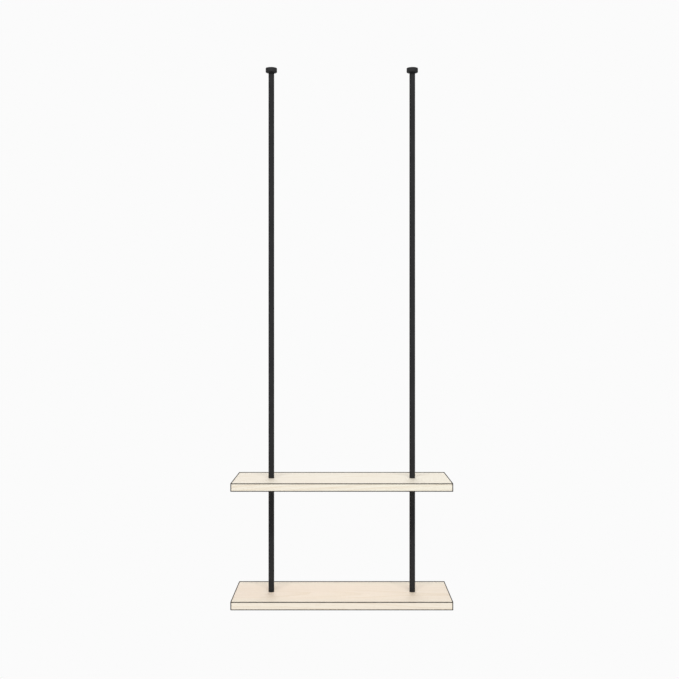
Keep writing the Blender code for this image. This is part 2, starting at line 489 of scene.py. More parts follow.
@dataclass(frozen=True)
class TurnedSteel:
    """Bright turned steel: zinc plated on the studs, oiled and a little darker on the plugs.

    Attributes:
        tool_step: Distance between the fine lines that the lathe's tool left.
    """

    name: str
    plain: Colour
    clouded: Colour
    clouds: Noise = Noise((190.0,) * 3, 3.0, (0.35, 0.75), rough=0.18, relief=0.5)
    tool_step: float = 0.0003
    line_rough: float = 0.06
    line_relief: float = 0.5
    roughness: float = 0.26
    metallic: float = 1.0
    specular: float = 0.5
    relief: float = 0.00002
    relief_share: float = 0.3

    def lines(self, coat: Coat, place: Wire) -> Wire:
        """The tool's lines along the side: waves over the height."""
        return coat.part(place, "Z").waves(self.tool_step)

    def material(self) -> bpy.types.Material:
        """Writes the steel's nodes: the tool's lines and a cloudy plating.

        Returns:
            The material.
        """
        coat = Coat(self.name)
        place = coat.place()
        lines = self.lines(coat, place)
        cloud = coat.noise(place, self.clouds)
        coat.set(
            Base_Color=coat.blend(cloud.rise(*self.clouds.rims), self.plain, self.clouded),
            Roughness=self.roughness + self.clouds.rough * cloud + self.line_rough * lines,
            Metallic=self.metallic,
            Specular_IOR_Level=self.specular,
        )
        coat.bump(lines * self.line_relief + cloud * self.clouds.relief, self.relief, self.relief_share)
        return coat.material


@dataclass(frozen=True, kw_only=True)
class BlackOxide(TurnedSteel):
    """Black oxide on steel that was faced on the lathe, which leaves rings round the rod's axis.

    Attributes:
        rod_reach: How far the rods' axes lie from the middle, along X.
    """

    rod_reach: float
    name: str = "black_oxide_steel"
    plain: Colour = screen(40, 40, 42)
    clouded: Colour = screen(58, 55, 52)
    clouds: Noise = Noise((260.0,) * 3, 3.0, (0.45, 0.8), rough=0.16, relief=0.4)
    tool_step: float = 0.00022
    line_rough: float = 0.05
    line_relief: float = 0.6
    roughness: float = 0.40
    metallic: float = 0.35
    specular: float = 0.35
    relief_share: float = 0.4

    def lines(self, coat: Coat, place: Wire) -> Wire:
        """The tool's rings: waves over the distance from the nearer rod's axis."""
        across = abs(coat.part(place, "X")) - self.rod_reach
        return across.hypot(coat.part(place, "Y")).waves(self.tool_step)


@dataclass
class Patch:
    """A grid of points, each with its place on the piece's map.

    Attributes:
        points: Rows x columns x 3, in metres.
        places: Rows x columns x 2, from 0 to 1.
        filled: Which of the cells between the points are faces; all of them if it is None.
        finish: Number of the finish that the patch wears.
    """

    points: Array
    places: Array
    filled: NDArray[np.bool_] | None = None
    finish: int = 0

    def quads(self) -> NDArray[np.int64]:
        """Lists the faces.

        Returns:
            The numbers of the four corners of each filled cell.
        """
        rows, columns = self.points.shape[:2]
        number = np.arange(rows * columns).reshape(rows, columns)
        cells = np.stack([number[:-1, :-1], number[:-1, 1:], number[1:, 1:], number[1:, :-1]], axis=-1)
        return cells.reshape(-1, 4) if self.filled is None else cells[self.filled]


@dataclass(frozen=True)
class Plot:
    """A rectangle of a piece's map."""

    left: float = 0.0
    bottom: float = 0.0
    right: float = 1.0
    top: float = 1.0

    def place(self, along: Array, up: Array) -> Array:
        """Puts shares along and up the rectangle on to the map, clear of its rim.

        Args:
            along: Shares from 0 to 1 for the columns.
            up: Shares from 0 to 1 for the rows.

        Returns:
            Rows x columns x 2 places.
        """
        across, rising = np.meshgrid(along, up)
        wide, tall = self.right - self.left - 2 * MAP_INSET, self.top - self.bottom - 2 * MAP_INSET
        low = np.array([self.left, self.bottom]) + MAP_INSET
        return low + np.stack([across * wide, rising * tall], axis=-1)

    def split(self, count: int) -> list["Plot"]:
        """Divides the rectangle into equal ones, row by row, on the squarest grid that holds them.

        Args:
            count: How many are wanted.

        Returns:
            That many rectangles.
        """
        columns = math.ceil(math.sqrt(count))
        rows = math.ceil(count / columns)
        wide, tall = (self.right - self.left) / columns, (self.top - self.bottom) / rows
        lefts = [self.left + wide * (number % columns) for number in range(count)]
        bottoms = [self.bottom + tall * (number // columns) for number in range(count)]
        return [Plot(x, y, x + wide, y + tall) for x, y in zip(lefts, bottoms)]


def walked(points: Array, axis: int) -> Array:
    """Share of the way that has been walked at each line of a grid, over the longest of its crossings.

    Args:
        points: Rows x columns x 3.
        axis: 0 to walk down the rows, 1 to walk along the columns.

    Returns:
        One share for each line, from 0 to 1.
    """
    steps = np.linalg.norm(np.diff(points, axis=axis), axis=-1).max(axis=1 - axis)
    way = np.concatenate([[0.0], np.cumsum(steps)])
    return way / way[-1]


def laid(points: Array, plot: Plot = Plot(), finish: int = 0) -> Patch:
    """A grid of points, spread over a plot of the map by the lengths of its sides."""
    return Patch(points, plot.place(walked(points, 1), walked(points, 0)), finish=finish)


def full_turn(sides: int) -> Array:
    """Angles of one turn, with the first repeated at the end."""
    return np.linspace(0.0, math.tau, sides + 1)


def turned(radius: Array, height: Array, turn: Array, axis: Array) -> Array:
    """A surface round a vertical axis: axis + radius * (cos turn, sin turn), at that height.

    Args:
        radius: Distance from the axis, rows x 1 or rows x columns.
        height: Height, rows x 1 or rows x columns.
        turn: Angle of each column.
        axis: X and Y of the axis.

    Returns:
        Rows x columns x 3 points.
    """
    radius, height, turn = np.broadcast_arrays(radius, height, turn)
    return np.stack([axis[0] + radius * np.cos(turn), axis[1] + radius * np.sin(turn), height], axis=-1)


def lathe(outline: Array, sides: int, axis: Array) -> Array:
    """Turns a (radius, height) outline about a vertical axis."""
    return turned(outline[:, :1], outline[:, 1:], full_turn(sides), axis)


def eased(corners: list[Triple], closed: bool = True, steps: int = ARC_STEPS) -> Array:
    """An outline whose corners are rounded.

    A corner of radius r becomes an arc that touches both of its sides. With the half angle h between
    them, the arc's centre lies r / sin h along the bisector and its ends r / tan h along the sides.
    The points between are the spherical blend of the two spokes from the centre to those ends.

    Args:
        corners: Radius from the axis, height and rounding of each corner, in order.
        closed: Whether the outline comes round to its first corner, which is then repeated. If not,
            the first and the last corner stay points.
        steps: Faces along each arc.

    Returns:
        Points x 2, as radius and height.
    """
    path = np.array([corners[-1], *corners, corners[0]] if closed else corners)
    corner, rounding = path[1:-1, :2], path[1:-1, 2:]
    back, forth = path[:-2, :2] - corner, path[2:, :2] - corner
    back /= np.linalg.norm(back, axis=1, keepdims=True)
    forth /= np.linalg.norm(forth, axis=1, keepdims=True)
    half = np.arccos(np.clip((back * forth).sum(axis=1, keepdims=True), -1, 1)) / 2
    middle = (back + forth) / np.linalg.norm(back + forth, axis=1, keepdims=True)
    centre = corner + middle * rounding / np.sin(half)
    spokes = [corner + way * rounding / np.tan(half) - centre for way in (back, forth)]
    sweep = (math.pi - 2 * half)[:, :, None]
    share = np.linspace(0, 1, steps + 1)[None, :, None]
    shares = np.sin((1 - share) * sweep) / np.sin(sweep), np.sin(share * sweep) / np.sin(sweep)
    arcs = centre[:, None] + shares[0] * spokes[0][:, None] + shares[1] * spokes[1][:, None]
    points = arcs.reshape(-1, 2)
    if closed:
        return np.concatenate([points, points[:1]])
    return np.concatenate([path[:1, :2], points, path[-1:, :2]])


def weld(mesh: bpy.types.Mesh) -> None:
    """Merges the rims of a mesh's patches and turns its faces outwards.

    Args:
        mesh: The mesh, which is changed in place.
    """
    shape = bmesh.new()
    shape.from_mesh(mesh)
    bmesh.ops.remove_doubles(shape, verts=shape.verts, dist=WELD_DISTANCE)
    bmesh.ops.recalc_face_normals(shape, faces=shape.faces)
    shape.to_mesh(mesh)
    shape.free()


def make_piece(
    name: str,
    patches: list[Patch],
    finishes: list[bpy.types.Material],
    replaced: str | None = None,
) -> None:
    """Joins patches into one closed piece, which rides on the body.

    Args:
        name: The piece's name.
        patches: Its surface, whose rims meet point by point.
        finishes: The materials that the patches number.
        replaced: The solid that it stands for, if any.
    """
    sizes = [patch.points.shape[0] * patch.points.shape[1] for patch in patches]
    starts = np.concatenate([[0], np.cumsum(sizes)[:-1]])
    corners = [patch.quads() + start for patch, start in zip(patches, starts)]
    quads = np.concatenate(corners)
    points = np.concatenate([patch.points.reshape(-1, 3) for patch in patches])
    places = np.concatenate([patch.places.reshape(-1, 2) for patch in patches])[quads.ravel()]
    worn = np.concatenate([np.full(len(part), patch.finish) for part, patch in zip(corners, patches)])

    mesh = bpy.data.meshes.new(name)
    mesh.from_pydata(points, [], quads)
    layer = mesh.uv_layers.new(name=MAP_NAME)
    layer.uv.foreach_set("vector", places.astype(np.float32).ravel())
    mesh.polygons.foreach_set("material_index", worn.astype(np.int32))
    for finish in finishes:
        mesh.materials.append(finish)
    weld(mesh)
    mesh.shade_smooth()
    mesh.set_sharp_from_angle(angle=SHARP_ANGLE)

    piece = bpy.data.objects.new(name, mesh)
    bpy.context.scene.collection.objects.link(piece)
    piece.modifiers.new("even_normals", "WEIGHTED_NORMAL").keep_sharp = True
    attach(piece, BODY)
    if replaced:
        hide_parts(replaced)
    LOG.info("%s: %d faces", name, len(mesh.polygons))


@dataclass(frozen=True)
class Solid:
    """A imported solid: its node, and the lowest and highest corner of its box."""

    node: str
    low: Array
    high: Array

    @classmethod
    def of(cls, node: str) -> "Solid":
        """Looks a solid up by its node."""
        low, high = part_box(node)
        return cls(node, np.array(low, float), np.array(high, float))

    @property
    def axis(self) -> Array:
        """X and Y of its middle line."""
        return (self.low[:2] + self.high[:2]) / 2

    @property
    def radius(self) -> float:
        """Half its width along X."""
        return (self.high[0] - self.low[0]) / 2


@dataclass(frozen=True)
class Thread:
    """A metric coarse thread of eight millimetres.

    Attributes:
        play: How much wider the thread in a plug is.
        crest: Half the width of the crest's flat, as a share of the pitch.
    """

    radius: float = 0.00398
    pitch: float = 0.00125
    depth: float = 0.00068
    play: float = 0.00014
    crest: float = 1 / 16
    rows_per_turn: int = 10

    def heights(self, low: float, high: float) -> Array:
        """Heights of the rows that carry the thread, as a column."""
        count = math.ceil((high - low) / self.pitch * self.rows_per_turn)
        return np.linspace(low, high, count + 1)[:, None]

    def surface(self, height: Array, turn: Array) -> Array:
        """Radius of a right-hand thread.

        The crest climbs one pitch in a turn. Away from its middle the radius is the crest's, less the
        flank's slope of root three times the way past the crest's flat, and it never goes below the
        root.

        Args:
            height: Height of each row, as a column.
            turn: Angle of each column.

        Returns:
            Rows x columns of radii.
        """
        share = (height / self.pitch - turn / math.tau) % 1.0
        away = (np.abs(share - 0.5) - self.crest) * self.pitch
        return self.radius - np.clip(away * math.sqrt(3.0), 0.0, self.depth)


@dataclass
class Finishes:
    """The materials that the pieces share."""

    planks: dict[Level, bpy.types.Material]
    line: bpy.types.Material
    powder: bpy.types.Material
    # The flange's copy of the black powder coat, painted a little lighter.
    flange: bpy.types.Material
    oxide: bpy.types.Material
    zinc: bpy.types.Material
    steel: bpy.types.Material

    @classmethod
    def mixed(cls, rods: Pair) -> "Finishes":
        """Writes every material.

        Args:
            rods: X of the two rods' axes.

        Returns:
            The set of them.
        """
        upper, lower = (tuple(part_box(f"{level.value}_shelf")[1]) for level in Level)
        woods = {
            Level.UPPER: BoardWood("upper", upper, heart_pink_and_shade=0.2, pith=(0.04, -0.12), climb=0.05),
            # The lower board's strong pink, darker tone is mostly painted shade, for the shade that the
            # upper board casts on it.
            Level.LOWER: BoardWood("lower", lower, heart_pink_and_shade=0.95, pith=(-0.03, -0.09), climb=-0.04),
        }
        return cls(
            planks={level: wood.material() for level, wood in woods.items()},
            line=EdgeLine().material(),
            powder=PowderCoat("black_powder_coat", screen(38, 38, 39), screen(45, 45, 46)).material(),
            # The flange's coat is the tubes' black powder coat made a little lighter: painted light, for
            # the light that falls on the flange's side.
            flange=PowderCoat("flange_powder_coat", screen(42, 42, 43), screen(50, 50, 51)).material(),
            oxide=BlackOxide(rod_reach=abs(rods[0])).material(),
            zinc=TurnedSteel("zinc_plated_steel", screen(206, 208, 210), screen(186, 188, 188)).material(),
            steel=TurnedSteel("oiled_steel", screen(150, 150, 150), screen(118, 117, 114)).material(),
        )


@dataclass
class Rod:
    """A rod from the ceiling to the lower board: flange, two tubes, their plugs, stud, washer and bolt.

    Outer sizes and heights come from the solids, and the fields hold what these don't tell. A field
    that ends in ease or round is the radius of an edge.

    Attributes:
        seat_gap: How far a clamped face reaches past its solid, to touch the next piece.
        flange_relief: Radius and depth of the hollow in the flange's upper face.
        tube_rim_share: How much of the rim's rounding is used, so that it stops short of the side.
        tube_inside: Share of a tube's map for its inside.
        plug_bands: Heights on a plug's map where its bore ends and its shoulder starts.
        bolt_neck: Plain length under the bolt's head.
        bolt_bands: Heights on a bolt's map where its socket ends and its shank starts.
    """

    side: Side
    finishes: Finishes
    thread: Thread = Thread()
    sides: int = 96
    thread_sides: int = 48
    seat_gap: float = 0.00028
    fit: float = 0.0003
    flange_hole: float = 0.0045
    flange_relief: Pair = (0.009, 0.0015)
    flange_socket_depth: float = 0.003
    flange_round: float = 0.002
    flange_ease: float = 0.0003
    flange_arc_steps: int = 8
    tube_wall: float = 0.0012
    tube_ease: float = 0.0002
    tube_rim_share: float = 0.999
    tube_inside: float = 0.05
    plug_shoulder: float = 0.002
    plug_ease: float = 0.00015
    plug_tip_round: float = 0.0004
    plug_mouth: float = 0.005
    plug_bands: Pair = (0.5, 0.75)
    thread_tip: float = 0.003
    washer_hole: float = 0.0043
    washer_ease: float = 0.0002
    washer_round: float = 0.0007
    washer_hole_round: float = 0.0004
    head_thickness: float = 0.0025
    head_round: float = 0.0008
    head_ease: float = 0.0003
    bolt_neck: float = 0.001
    hex_flats: float = 0.005
    hex_depth: float = 0.004
    hex_lead: float = 0.0003
    drill_tip: float = 0.0012
    bolt_bands: Pair = (0.2, 0.6)
    tube_radius: float = field(init=False)
    tube_bore: float = field(init=False)
    flange_socket: float = field(init=False)
    plug_radius: float = field(init=False)

    def __post_init__(self) -> None:
        """Works out the tube's radius and bore, and what fits over and into it."""
        self.tube_radius = self.solid("upper_tube").radius
        self.tube_bore = self.tube_radius - self.tube_wall
        self.flange_socket = self.tube_radius + self.fit
        self.plug_radius = self.tube_bore - self.fit

    def solid(self, name: str) -> Solid:
        """A solid of this rod, by its name without the side."""
        return Solid.of(f"{self.side.value}_{name}")

    def build(self) -> None:
        """Makes every piece of the rod, from the ceiling down."""
        self.flange()
        for level in Level:
            tube = f"{level.value}_tube"
            self.plug(f"{tube}_top_plug", upturned=False)
            self.tube(tube)
            self.plug(f"{tube}_bottom_plug", upturned=True)
        self.stud()
        self.washer()
        self.bolt()

    def flange(self) -> None:
        """The turned flange: relief and bolt hole above, a rounded lower rim, and the tube's socket."""
        solid = self.solid("ceiling_flange")
        rim, bottom, top = solid.radius, solid.low[2], solid.high[2]
        hole, socket, fine = self.flange_hole, self.flange_socket, self.flange_ease
        relief, relief_depth = self.flange_relief
        ledge, socket_top = top - relief_depth, bottom + self.flange_socket_depth
        outline = eased(
            [
                (hole, ledge, fine),
                (relief, ledge, fine),
                (relief, top, fine),
                (rim, top, fine),
                (rim, bottom, self.flange_round),
                (socket, bottom, fine),
                (socket, socket_top, fine),
                (hole, socket_top, fine),
            ],
            steps=self.flange_arc_steps,
        )
        patch = laid(lathe(outline, self.sides, solid.axis))
        make_piece(f"{solid.node}_turned", [patch], [self.finishes.flange], solid.node)

    def tube(self, name: str) -> None:
        """A tube whose side is cut into bands, so that each gets a square plot of the map.

        Args:
            name: The solid's name without its side.
        """
        solid = self.solid(name)
        bottom, top = solid.low[2], solid.high[2]
        outer, bore, ease = self.tube_radius, self.tube_bore, self.tube_ease
        bands = math.ceil(math.sqrt((top - bottom) / (math.tau * outer))) ** 2
        turn = full_turn(self.sides)
        levels = np.linspace(bottom + ease, top - ease, bands + 1)
        patches = [
            laid(turned(np.full((2, 1), outer), levels[i : i + 2, None], turn, solid.axis), plot)
            for i, plot in enumerate(Plot(bottom=self.tube_inside).split(bands))
        ]
        inside = eased(
            [
                (outer, bottom + ease, 0.0),
                (outer, bottom, ease * self.tube_rim_share),
                (bore, bottom, ease),
                (bore, top, ease),
                (outer, top, ease * self.tube_rim_share),
                (outer, top - ease, 0.0),
            ],
            closed=False,
        )
        patches.append(laid(lathe(inside, self.sides, solid.axis), Plot(top=self.tube_inside)))
        make_piece(f"{solid.node}_drawn", patches, [self.finishes.powder], solid.node)

    def plug(self, name: str, upturned: bool) -> None:
        """A plug with its shoulder on the tube's end and its thread cut through it.

        Depth is measured from the shoulder's end face into the tube. The bore's radius is the larger
        of the thread's and of the mouth's cone.

        Args:
            name: The solid's name without its side.
            upturned: Whether the shoulder is at the bottom.
        """
        solid = self.solid(name)
        face, inward = (solid.low[2], 1.0) if upturned else (solid.high[2], -1.0)
        length = solid.high[2] - solid.low[2]
        outer, inner, fine = self.tube_radius, self.plug_radius, self.plug_ease
        seat, shoulder = -self.seat_gap, self.plug_shoulder + self.seat_gap
        shoulder_corners = [(outer, seat, fine), (outer, shoulder, fine), (inner, shoulder, fine)]
        outline = eased(
            [
                (self.plug_mouth, seat, 0.0),
                *shoulder_corners,
                (inner, length, self.plug_tip_round),
                (self.thread.radius, length, 0.0),
            ],
            closed=False,
        )
        turn = full_turn(self.thread_sides)
        shell = turned(outline[:, :1], face + inward * outline[:, 1:], turn, solid.axis)
        depth = self.thread.heights(seat, length)[::-1]
        height = face + inward * depth
        bore = self.thread.surface(height, turn) + self.thread.play
        bore = np.maximum(bore, self.plug_mouth + seat - depth)
        threads = turned(bore, height, turn, solid.axis)
        # The shell's first and last rows are the bore's rims, which closes the plug.
        shell[0], shell[-1] = threads[-1], threads[0]
        black_rows = 1 + len(shoulder_corners) * (ARC_STEPS + 1)
        bore_top, shell_top = self.plug_bands
        patches = [
            laid(shell[:black_rows], Plot(bottom=shell_top)),
            laid(shell[black_rows - 1 :], Plot(bottom=bore_top, top=shell_top), 1),
            laid(threads, Plot(top=bore_top), 1),
        ]
        materials = [self.finishes.powder, self.finishes.steel]
        make_piece(f"{solid.node}_tapped", patches, materials, solid.node)

    def stud(self) -> None:
        """The stud through the upper board: a thread that both ends' cones cut down."""
        solid = self.solid("shelf_stud")
        bottom, top = solid.low[2], solid.high[2]
        turn = full_turn(self.thread_sides)
        height = self.thread.heights(bottom, top)
        cone = self.thread_tip + np.minimum(height - bottom, top - height)
        radius = np.minimum(self.thread.surface(height, turn), cone)
        # A row on the axis closes each end.
        radius = np.concatenate([0 * radius[:1], radius, 0 * radius[:1]])
        height = np.concatenate([height[:1], height, height[-1:]])
        patch = laid(turned(radius, height, turn, solid.axis))
        make_piece(f"{solid.node}_threaded", [patch], [self.finishes.zinc], solid.node)

    def washer(self) -> None:
        """The wide washer: flat, with a punched upper rim and a rolled lower one."""
        solid = self.solid("shelf_washer")
        rim, bottom, top = solid.radius, solid.low[2], solid.high[2] + self.seat_gap
        outline = eased(
            [
                (self.washer_hole, top, self.washer_ease),
                (rim, top, self.washer_ease),
                (rim, bottom, self.washer_round),
                (self.washer_hole, bottom, self.washer_hole_round),
            ]
        )
        patch = laid(lathe(outline, self.sides, solid.axis))
        make_piece(f"{solid.node}_punched", [patch], [self.finishes.oxide], solid.node)

    def bolt(self) -> None:
        """The flat-head bolt: a hexagon socket below, the head, and a threaded shank.

        In polar form a hexagon's radius is half its width over flats, divided by the cosine of the
        angle from the middle of the nearest flat.
        """
        solid = self.solid("shelf_bolt")
        foot, tip, rim, shank = solid.low[2], solid.high[2], solid.radius, self.thread.radius
        seat = foot + self.head_thickness + self.seat_gap
        neck = seat + self.bolt_neck
        turn = full_turn(self.sides)

        hexagon = self.hex_flats / 2 / np.cos((turn % (math.pi / 3)) - math.pi / 6)
        lead = self.hex_flats / math.sqrt(3.0) + self.hex_lead
        floor = foot + self.hex_depth
        socket_radius = np.stack([0 * turn, hexagon, hexagon, hexagon, 0 * turn + lead])
        levels = [floor + self.drill_tip, floor, (floor + foot) / 2, foot + self.hex_lead, foot]
        socket = turned(socket_radius, np.array(levels)[:, None], turn, solid.axis)

        head = eased(
            [
                (lead, foot, 0.0),
                (rim, foot, self.head_round),
                (rim, seat, self.head_ease),
                (shank, seat, self.head_ease),
                (shank, neck, 0.0),
            ],
            closed=False,
        )
        height = self.thread.heights(neck, tip)
        radius = np.minimum(self.thread.surface(height, turn), self.thread_tip + tip - height)
        # The shank starts on the head's last ring and ends in a row on the axis.
        radius[0] = shank
        radius = np.concatenate([radius, 0 * radius[:1]])
        height = np.concatenate([height, height[-1:]])
        socket_top, head_top = self.bolt_bands
        patches = [
            laid(socket, Plot(top=socket_top)),
            laid(lathe(head, self.sides, solid.axis), Plot(bottom=socket_top, top=head_top)),
            laid(turned(radius, height, turn, solid.axis), Plot(bottom=head_top)),
        ]
        make_piece(f"{solid.node}_socketed", patches, [self.finishes.oxide], solid.node)


@dataclass
class Board:
    """A shelf board with its two holes, and the dark line along its edges.

    Attributes:
        rods: X of the two rods' axes.
        collar: Half side of the square round each hole, whose rings crowd towards the hole.
        line_radius: Radius of the line along the faces; corner_radius is that up the corners.
        line_reach: How far the line's middle stands out past the board's sides.
        line_lifts: How far it lies below the lower face and above the upper one.
        holes_share: Height on the map up to which the holes' walls reach.
        sides_share: Height on the map up to which the four sides reach.
    """

    level: Level
    finishes: Finishes
    rods: Pair
    ease: float = 0.0012
    arc_steps: int = 6
    hole: float = 0.0045
    hole_flare: float = 0.0005
    collar: float = 0.030
    collar_cells: int = 12
    collar_rings: int = 6
    collar_crowding: float = 1.6
    open_cells: int = 4
    line_radius: float = 0.00108
    corner_radius: float = 0.0013
    line_reach: float = 0.0002
    line_lifts: Pair = (0.0, 0.0006)
    line_sides: int = 10
    bow_points: int = 4
    holes_share: float = 0.02
    sides_share: float = 0.14
    node: str = field(init=False)
    low: Array = field(init=False)
    high: Array = field(init=False)
    across: Array = field(init=False)
    deep: Array = field(init=False)

    def __post_init__(self) -> None:
        """Reads the solid's corners, and draws the grid lines that the two faces share."""
        solid = Solid.of(f"{self.level.value}_shelf")
        self.node, self.low, self.high = solid.node, solid.low, solid.high
        squares = [edge for rod in self.rods for edge in (rod - self.collar, rod + self.collar)]
        self.across = self.ruled([self.low[0] + self.ease, *squares, self.high[0] - self.ease])
        square = (-self.collar, self.collar)
        self.deep = self.ruled([self.low[1] + self.ease, *square, self.high[1] - self.ease])

    def ruled(self, marks: list[float]) -> Array:
        """Rules lines between marks.

        Args:
            marks: Where the gaps start and end. Every second gap is a collar's.

        Returns:
            The lines: collar_cells to a collar's gap, open_cells to another.
        """
        counts = [self.collar_cells if i % 2 else self.open_cells for i in range(len(marks) - 1)]
        gaps = zip(marks[:-1], marks[1:], counts)
        runs = [np.linspace(start, end, count, endpoint=False) for start, end, count in gaps]
        return np.concatenate([*runs, marks[-1:]])

    def build(self) -> None:
        """Makes the board and its edge line."""
        self.plank()
        self.edge_line()

    def face(self, height: float, plot: Plot) -> list[Patch]:
        """One broad face: a ruled grid with a square left out round each hole, and the collars in them.

        Args:
            height: Where the face lies.
            plot: Its rectangle of the map.

        Returns:
            The grid and the collars.
        """
        x, y = np.meshgrid(self.across, self.deep)
        points = np.stack([x, y, np.full_like(x, height)], axis=-1)
        along = (self.across - self.low[0]) / (self.high[0] - self.low[0])
        up = (self.deep - self.low[1]) / (self.high[1] - self.low[1])
        middle_x = (self.across[:-1] + self.across[1:])[None] / 2
        middle_y = (self.deep[:-1] + self.deep[1:])[:, None] / 2
        filled = np.ones((len(self.deep) - 1, len(self.across) - 1), bool)
        for rod in self.rods:
            filled &= (np.abs(middle_x - rod) > self.collar) | (np.abs(middle_y) > self.collar)
        sheet = Patch(points, plot.place(along, up), filled)
        return [sheet] + [self.collar_patch(rod, height, plot) for rod in self.rods]

    def collar_rim(self) -> Array:
        """Walks round a square of half side 1, in even steps along its sides.

        Returns:
            Points x 2, with the first repeated at the end.
        """
        side = np.linspace(-1.0, 1.0, self.collar_cells, endpoint=False)
        one = np.ones_like(side)
        sides = [(one, side), (-side, one), (-one, -side), (side, -one)]
        rim = np.concatenate([np.stack(pair, axis=-1) for pair in sides])
        return np.concatenate([rim, rim[:1]])

    def collar_patch(self, rod: float, height: float, plot: Plot) -> Patch:
        """The face between a hole's round mouth and the square round it: a straight blend of the two.

        Args:
            rod: X of the hole's axis.
            height: Where the face lies.
            plot: The whole face's rectangle of the map.

        Returns:
            The collar.
        """
        rim = self.collar_rim()
        ring = rim / np.linalg.norm(rim, axis=1, keepdims=True) * (self.hole + self.hole_flare)
        share = (np.linspace(0, 1, self.collar_rings) ** self.collar_crowding)[:, None, None]
        flat = (1 - share) * ring + share * self.collar * rim + np.array([rod, 0.0])
        points = np.concatenate([flat, np.full((*flat.shape[:2], 1), height)], axis=-1)
        spread = (flat - self.low[:2]) / (self.high[:2] - self.low[:2])
        corner = plot.place(np.array([0.0, 1.0]), np.array([0.0, 1.0]))
        places = corner[0, 0] + spread * (corner[1, 1] - corner[0, 0])
        return Patch(points, places)

    def outline(self, start: Array, end: Array, facing: float, marks: Array) -> tuple[Array, Array]:
        """One side of the board's outline, with half of the corner at each end.

        Args:
            start: Where the side starts, on the rectangle that the eased edges leave.
            end: Where it ends.
            facing: Angle of its outward normal.
            marks: Shares of the way at which it has points.

        Returns:
            Points x 2 on that rectangle, and the angle of the outward normal at each.
        """
        line = start + (end - start) * marks[:, None]
        half = np.linspace(0, math.pi / 4, self.arc_steps // 2 + 1)
        first, last = (np.repeat(point, len(half) - 1, axis=0) for point in (line[:1], line[-1:]))
        base = np.concatenate([first, line, last])
        angle = np.concatenate([facing - half[:0:-1], np.full(len(line), facing), facing + half[1:]])
        return base, angle

    def sides(self) -> list[tuple[Array, Array]]:
        """Walks round the board, counter-clockwise from above.

        Returns:
            The outlines of front, right, back and left.
        """
        left, right = self.across[0], self.across[-1]
        front, back = self.deep[0], self.deep[-1]
        run = (self.across - left) / (right - left)
        climb = (self.deep - front) / (back - front)
        corner = np.array([[left, front], [right, front], [right, back], [left, back]])
        marks = [run, climb, (1 - run)[::-1], (1 - climb)[::-1]]
        ends = zip(corner, np.roll(corner, -1, axis=0), marks)
        return [self.outline(a, b, (i - 1) * math.pi / 2, mark) for i, (a, b, mark) in enumerate(ends)]

    def plank(self) -> None:
        """The board: two faces, four eased sides and the walls of its holes.

        A side is a section carried along the outline: out by a quarter turn of the easing radius,
        straight down, and in again.
        """
        bottom, top = self.low[2], self.high[2]
        quarter = np.linspace(0, math.pi / 2, self.arc_steps + 1)
        out = self.ease * np.concatenate([np.sin(quarter), np.cos(quarter)])
        drop = self.ease * (1 - np.cos(quarter))
        height = np.concatenate([top - drop, bottom + drop[::-1]])
        patches = []
        for level, plot in zip((top, bottom), Plot(bottom=self.sides_share).split(2)):
            patches += self.face(level, plot)
        outlines = self.sides()
        plots = Plot(bottom=self.holes_share, top=self.sides_share).split(len(outlines))
        for (base, angle), plot in zip(outlines, plots):
            away = np.stack([np.cos(angle), np.sin(angle)], axis=-1)
            flat = base + out[:, None, None] * away
            tall = np.broadcast_to(height[:, None, None], (*flat.shape[:2], 1))
            patches.append(laid(np.concatenate([flat, tall], axis=-1), plot))
        rim = self.collar_rim()
        turn = np.arctan2(rim[:, 1], rim[:, 0])
        mouth, flare = self.hole + self.hole_flare, self.hole_flare
        radius = np.array([mouth, self.hole, self.hole, mouth])[:, None]
        levels = np.array([top, top - flare, bottom + flare, bottom])[:, None]
        for rod, plot in zip(self.rods, Plot(top=self.holes_share).split(len(self.rods))):
            patches.append(laid(turned(radius, levels, turn, np.array([rod, 0.0])), plot))
        wood = self.finishes.planks[self.level]
        make_piece(f"{self.node}_board", patches, [wood], self.node)

    def edge_line(self) -> None:
        """The dark line: a round bead carried along the upper and the lower outline, and up each corner.

        Round the outline the bead's points are path + radius * (cos t * outward + sin t * up). A
        corner's bead is turned about its own axis and closes in half a ball at both ends.
        """
        outlines = self.sides()
        base = np.concatenate([points for points, _ in outlines] + [outlines[0][0][:1]])
        angle = np.concatenate([facing for _, facing in outlines] + [outlines[0][1][:1]])
        away = np.stack([np.cos(angle), np.sin(angle), 0 * angle], axis=-1)
        upward = np.array([0.0, 0.0, 1.0])
        reach = self.ease + self.line_reach
        turn = full_turn(self.line_sides)
        around = turn[:, None, None]
        section = self.line_radius * (np.cos(around) * away + np.sin(around) * upward)
        levels = self.low[2] - self.line_lifts[0], self.high[2] + self.line_lifts[1]
        plots = Plot().split(len(levels) + len(outlines))
        patches = []
        for level, plot in zip(levels, plots):
            path = np.concatenate([base, np.full((len(base), 1), level)], axis=-1) + reach * away
            patches.append(laid(path + section, plot))
        bow = np.linspace(0, math.pi / 2, self.bow_points)
        radius = self.corner_radius * np.concatenate([np.sin(bow), np.cos(bow)])
        swell = self.corner_radius * np.cos(bow)
        height = np.concatenate([levels[0] - swell, levels[1] + swell[::-1]])
        for (points, facing), plot in zip(outlines, plots[len(levels) :]):
            axis = points[0] + reach * np.array([math.cos(facing[0]), math.sin(facing[0])])
            patches.append(laid(turned(radius[:, None], height[:, None], turn, axis), plot))
        make_piece(f"{self.node}_edge_line", patches, [self.finishes.line])


